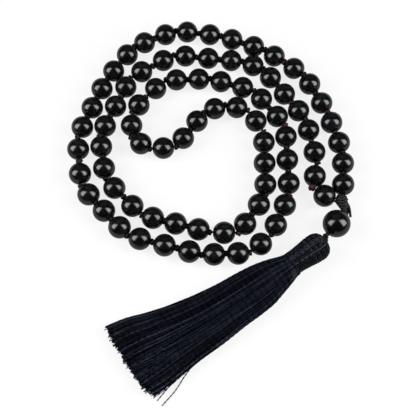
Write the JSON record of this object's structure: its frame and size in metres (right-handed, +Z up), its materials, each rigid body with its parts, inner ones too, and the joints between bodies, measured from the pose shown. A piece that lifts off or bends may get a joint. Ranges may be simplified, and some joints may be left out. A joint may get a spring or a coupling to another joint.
{
  "type": "mala prayer beads",
  "caption": "Closed strand of round polished black stone beads on knotted cord, laid in loops, with a larger guru bead and a thread tassel.",
  "frame": {"origin": "centre of the outline of the strand and tassel as they lie, on the table", "axes": "+Z up from the table, +Y along the longer side of the outline away from the tassel, +X towards the guru bead"},
  "size_m": [0.1056, 0.144, 0.0104],
  "materials": {
    "polished_agate": "high polish",
    "stringing_cord": "twisted, matte",
    "waxed_cord": "waxed braid",
    "tassel_thread": "silky rayon thread"
  },
  "bodies": {
    "near_strand": {"string_1": "stringing_cord", "string_3": "stringing_cord", "string_5": "stringing_cord", "string_7": "stringing_cord", "closing_knot": "waxed_cord", "knot_tail_long": "waxed_cord", "knot_tail_short": "waxed_cord"},
    "far_strand": {"string_2": "stringing_cord", "string_4": "stringing_cord", "string_6": "stringing_cord"},
    "pendant_cord": {"guru_cord": "waxed_cord"},
    "guru": {"guru_bead": "polished_agate"},
    "pendant_knot": {"pendant_knot": "waxed_cord"},
    "tassel": {"tassel_threads": "tassel_thread", "tassel_head_cover": "tassel_thread", "neck_binding": "tassel_thread", "tassel_loop": "waxed_cord"},
    "bead_01_02_roller": {"bead_01_02": "polished_agate"},
    "bead_03_04_roller": {"bead_03_04": "polished_agate"},
    "bead_05_06_roller": {"bead_05_06": "polished_agate"},
    "bead_07_08_roller": {"bead_07_08": "polished_agate"},
    "bead_09_10_roller": {"bead_09_10": "polished_agate"},
    "bead_11_12_roller": {"bead_11_12": "polished_agate"},
    "bead_13_14_roller": {"bead_13_14": "polished_agate"},
    "bead_15_16_roller": {"bead_15_16": "polished_agate"},
    "bead_17_18_19_roller": {"bead_17_18_19": "polished_agate"},
    "bead_20_21_roller": {"bead_20_21": "polished_agate"},
    "bead_22_23_24_roller": {"bead_22_23_24": "polished_agate"},
    "bead_25_26_27_roller": {"bead_25_26_27": "polished_agate"},
    "bead_28_29_roller": {"bead_28_29": "polished_agate"},
    "bead_30_roller": {"bead_30": "polished_agate"},
    "bead_31_32_roller": {"bead_31_32": "polished_agate"},
    "bead_33_34_35_roller": {"bead_33_34_35": "polished_agate"},
    "bead_36_37_roller": {"bead_36_37": "polished_agate"},
    "bead_38_39_roller": {"bead_38_39": "polished_agate"},
    "bead_40_41_roller": {"bead_40_41": "polished_agate"},
    "bead_42_roller": {"bead_42": "polished_agate"},
    "bead_43_roller": {"bead_43": "polished_agate"},
    "bead_44_roller": {"bead_44": "polished_agate"},
    "bead_45_roller": {"bead_45": "polished_agate"},
    "bead_46_roller": {"bead_46": "polished_agate"},
    "bead_47_48_roller": {"bead_47_48": "polished_agate"},
    "bead_49_roller": {"bead_49": "polished_agate"},
    "bead_50_roller": {"bead_50": "polished_agate"},
    "bead_51_roller": {"bead_51": "polished_agate"},
    "bead_52_53_54_roller": {"bead_52_53_54": "polished_agate"},
    "bead_55_56_roller": {"bead_55_56": "polished_agate"},
    "bead_57_roller": {"bead_57": "polished_agate"},
    "bead_58_59_60_roller": {"bead_58_59_60": "polished_agate"},
    "bead_61_62_roller": {"bead_61_62": "polished_agate"},
    "bead_63_64_roller": {"bead_63_64": "polished_agate"},
    "bead_65_66_67_roller": {"bead_65_66_67": "polished_agate"},
    "bead_68_69_roller": {"bead_68_69": "polished_agate"},
    "bead_70_71_72_roller": {"bead_70_71_72": "polished_agate"},
    "bead_73_roller": {"bead_73": "polished_agate"},
    "bead_74_75_76_roller": {"bead_74_75_76": "polished_agate"},
    "bead_77_78_roller": {"bead_77_78": "polished_agate"},
    "bead_79_roller": {"bead_79": "polished_agate"},
    "bead_80_roller": {"bead_80": "polished_agate"}
  },
  "joints": [
    {"name": "tassel_swing", "type": "hinge", "parent": "pendant_cord", "child": "pendant_knot", "pos_m": [0.04125, -0.01595, 0.005], "axis": [0, 0, 1], "range_deg": [-1.5, 45]},
    {"name": "tassel_lift", "type": "hinge", "parent": "pendant_knot", "child": "tassel", "pos_m": [0.04125, -0.01595, 0.005], "axis": [-0.5592, 0.829, 0], "range_deg": [0, 45]},
    {"name": "pendant_swing", "type": "hinge", "parent": "near_strand", "child": "pendant_cord", "pos_m": [0.0485, -0.0066, 0.0043], "axis": [0, 0, 1], "range_deg": [-1, 40]},
    {"name": "strand_fold", "type": "hinge", "parent": "near_strand", "child": "far_strand", "pos_m": [-0.00547, 0.01683, 0.0041], "axis": [0.9511, 0.309, 0], "range_deg": [0, 35]},
    {"name": "guru_spin", "type": "hinge", "parent": "pendant_cord", "child": "guru", "pos_m": [0.04525, -0.01135, 0.005], "axis": [-0.6561, -0.7547, 0], "continuous": true},
    {"name": "bead_01_02_spin", "type": "hinge", "parent": "near_strand", "child": "bead_01_02_roller", "pos_m": [0.0488, 0.0082, 0.0041], "axis": [0.0476, 0.9989, 0], "continuous": true},
    {"name": "bead_03_04_spin", "type": "hinge", "parent": "near_strand", "child": "bead_03_04_roller", "pos_m": [0.04679, 0.02482, 0.0041], "axis": [-0.281, 0.9597, 0], "continuous": true},
    {"name": "bead_05_06_spin", "type": "hinge", "parent": "far_strand", "child": "bead_05_06_roller", "pos_m": [0.04019, 0.04112, 0.0041], "axis": [-0.4606, 0.8876, 0], "continuous": true},
    {"name": "bead_07_08_spin", "type": "hinge", "parent": "far_strand", "child": "bead_07_08_roller", "pos_m": [0.0286, 0.0546, 0.0041], "axis": [-0.8078, 0.5895, 0], "continuous": true},
    {"name": "bead_09_10_spin", "type": "hinge", "parent": "far_strand", "child": "bead_09_10_roller", "pos_m": [0.0128, 0.0631, 0.0041], "axis": [-0.9382, 0.3462, 0], "continuous": true},
    {"name": "bead_11_12_spin", "type": "hinge", "parent": "far_strand", "child": "bead_11_12_roller", "pos_m": [-0.0045, 0.0674, 0.0041], "axis": [-0.991, 0.1336, 0], "continuous": true},
    {"name": "bead_13_14_spin", "type": "hinge", "parent": "far_strand", "child": "bead_13_14_roller", "pos_m": [-0.0215, 0.065, 0.0041], "axis": [-0.9138, -0.4061, 0], "continuous": true},
    {"name": "bead_15_16_spin", "type": "hinge", "parent": "far_strand", "child": "bead_15_16_roller", "pos_m": [-0.0346, 0.0543, 0.0041], "axis": [-0.5758, -0.8176, 0], "continuous": true},
    {"name": "bead_17_18_19_spin", "type": "hinge", "parent": "far_strand", "child": "bead_17_18_19_roller", "pos_m": [-0.0446, 0.0351, 0.0041], "axis": [-0.3819, -0.9242, 0], "continuous": true},
    {"name": "bead_20_21_spin", "type": "hinge", "parent": "far_strand", "child": "bead_20_21_roller", "pos_m": [-0.04841, 0.01313, 0.0041], "axis": [0.1196, -0.9928, 0], "continuous": true},
    {"name": "bead_22_23_24_spin", "type": "hinge", "parent": "near_strand", "child": "bead_22_23_24_roller", "pos_m": [-0.03841, -0.00617, 0.0041], "axis": [0.6826, -0.7308, 0], "continuous": true},
    {"name": "bead_25_26_27_spin", "type": "hinge", "parent": "near_strand", "child": "bead_25_26_27_roller", "pos_m": [-0.0163, -0.01915, 0.0041], "axis": [0.9662, -0.2579, 0], "continuous": true},
    {"name": "bead_28_29_spin", "type": "hinge", "parent": "near_strand", "child": "bead_28_29_roller", "pos_m": [0.0056, -0.02235, 0.0041], "axis": [0.9992, 0.0407, 0], "continuous": true},
    {"name": "bead_30_spin", "type": "hinge", "parent": "near_strand", "child": "bead_30_roller", "pos_m": [0.018, -0.0187, 0.0041], "axis": [0.755, 0.6557, 0], "continuous": true},
    {"name": "bead_31_32_spin", "type": "hinge", "parent": "near_strand", "child": "bead_31_32_roller", "pos_m": [0.0253, -0.0078, 0.0041], "axis": [0.4183, 0.9083, 0], "continuous": true},
    {"name": "bead_33_34_35_spin", "type": "hinge", "parent": "near_strand", "child": "bead_33_34_35_roller", "pos_m": [0.0285, 0.01379, 0.0041], "axis": [-0.0212, 0.9998, 0], "continuous": true},
    {"name": "bead_36_37_spin", "type": "hinge", "parent": "far_strand", "child": "bead_36_37_roller", "pos_m": [0.0224, 0.03509, 0.0041], "axis": [-0.6217, 0.7832, 0], "continuous": true},
    {"name": "bead_38_39_spin", "type": "hinge", "parent": "far_strand", "child": "bead_38_39_roller", "pos_m": [0.0083, 0.0449, 0.0041], "axis": [-0.9575, 0.2884, 0], "continuous": true},
    {"name": "bead_40_41_spin", "type": "hinge", "parent": "far_strand", "child": "bead_40_41_roller", "pos_m": [-0.0086, 0.0471, 0.0041], "axis": [-0.9994, -0.0349, 0], "continuous": true},
    {"name": "bead_42_spin", "type": "hinge", "parent": "far_strand", "child": "bead_42_roller", "pos_m": [-0.0208, 0.0432, 0.0041], "axis": [-0.7071, -0.7071, 0], "continuous": true},
    {"name": "bead_43_spin", "type": "hinge", "parent": "far_strand", "child": "bead_43_roller", "pos_m": [-0.027, 0.03625, 0.0041], "axis": [-0.6131, -0.79, 0], "continuous": true},
    {"name": "bead_44_spin", "type": "hinge", "parent": "far_strand", "child": "bead_44_roller", "pos_m": [-0.0295, 0.02775, 0.0041], "axis": [0.0194, -0.9998, 0], "continuous": true},
    {"name": "bead_45_spin", "type": "hinge", "parent": "far_strand", "child": "bead_45_roller", "pos_m": [-0.0258, 0.0203, 0.0041], "axis": [0.8427, -0.5384, 0], "continuous": true},
    {"name": "bead_46_spin", "type": "hinge", "parent": "far_strand", "child": "bead_46_roller", "pos_m": [-0.0174, 0.0185, 0.0041], "axis": [0.9946, 0.1036, 0], "continuous": true},
    {"name": "bead_47_48_spin", "type": "hinge", "parent": "far_strand", "child": "bead_47_48_roller", "pos_m": [-0.0075, 0.026, 0.0041], "axis": [0.5889, 0.8082, 0], "continuous": true},
    {"name": "bead_49_spin", "type": "hinge", "parent": "far_strand", "child": "bead_49_roller", "pos_m": [0.0017, 0.0347, 0.0041], "axis": [0.9237, 0.383, 0], "continuous": true},
    {"name": "bead_50_spin", "type": "hinge", "parent": "far_strand", "child": "bead_50_roller", "pos_m": [0.0101, 0.0352, 0.0041], "axis": [0.9632, -0.2688, 0], "continuous": true},
    {"name": "bead_51_spin", "type": "hinge", "parent": "far_strand", "child": "bead_51_roller", "pos_m": [0.0172, 0.02955, 0.0041], "axis": [0.5325, -0.8464, 0], "continuous": true},
    {"name": "bead_52_53_54_spin", "type": "hinge", "parent": "near_strand", "child": "bead_52_53_54_roller", "pos_m": [0.0201, 0.01245, 0.0041], "axis": [0.0081, -1, 0], "continuous": true},
    {"name": "bead_55_56_spin", "type": "hinge", "parent": "near_strand", "child": "bead_55_56_roller", "pos_m": [0.0151, -0.0075, 0.0041], "axis": [-0.5727, -0.8198, 0], "continuous": true},
    {"name": "bead_57_spin", "type": "hinge", "parent": "near_strand", "child": "bead_57_roller", "pos_m": [0.00495, -0.01455, 0.0041], "axis": [-0.9988, 0.0494, 0], "continuous": true},
    {"name": "bead_58_59_60_spin", "type": "hinge", "parent": "near_strand", "child": "bead_58_59_60_roller", "pos_m": [-0.01245, -0.01105, 0.0041], "axis": [-0.9671, 0.2545, 0], "continuous": true},
    {"name": "bead_61_62_spin", "type": "hinge", "parent": "near_strand", "child": "bead_61_62_roller", "pos_m": [-0.03159, -0.00083, 0.0041], "axis": [-0.6978, 0.7163, 0], "continuous": true},
    {"name": "bead_63_64_spin", "type": "hinge", "parent": "far_strand", "child": "bead_63_64_roller", "pos_m": [-0.03979, 0.01477, 0.0041], "axis": [-0.1612, 0.9869, 0], "continuous": true},
    {"name": "bead_65_66_67_spin", "type": "hinge", "parent": "far_strand", "child": "bead_65_66_67_roller", "pos_m": [-0.0358, 0.0357, 0.0041], "axis": [0.402, 0.9156, 0], "continuous": true},
    {"name": "bead_68_69_spin", "type": "hinge", "parent": "far_strand", "child": "bead_68_69_roller", "pos_m": [-0.0222, 0.0529, 0.0041], "axis": [0.8584, 0.513, 0], "continuous": true},
    {"name": "bead_70_71_72_spin", "type": "hinge", "parent": "far_strand", "child": "bead_70_71_72_roller", "pos_m": [-0.0007, 0.0563, 0.0041], "axis": [0.9937, -0.1121, 0], "continuous": true},
    {"name": "bead_73_spin", "type": "hinge", "parent": "far_strand", "child": "bead_73_roller", "pos_m": [0.0166, 0.0531, 0.0041], "axis": [0.9203, -0.3911, 0], "continuous": true},
    {"name": "bead_74_75_76_spin", "type": "hinge", "parent": "far_strand", "child": "bead_74_75_76_roller", "pos_m": [0.02828, 0.04085, 0.0041], "axis": [0.5887, -0.8084, 0], "continuous": true},
    {"name": "bead_77_78_spin", "type": "hinge", "parent": "near_strand", "child": "bead_77_78_roller", "pos_m": [0.03778, 0.02135, 0.0041], "axis": [0.1989, -0.98, 0], "continuous": true},
    {"name": "bead_79_spin", "type": "hinge", "parent": "near_strand", "child": "bead_79_roller", "pos_m": [0.0384, 0.0073, 0.0041], "axis": [-0.229, -0.9734, 0], "continuous": true},
    {"name": "bead_80_spin", "type": "hinge", "parent": "near_strand", "child": "bead_80_roller", "pos_m": [0.0416, -0.0004, 0.0041], "axis": [0.8609, -0.5087, 0], "continuous": true}
  ]
}
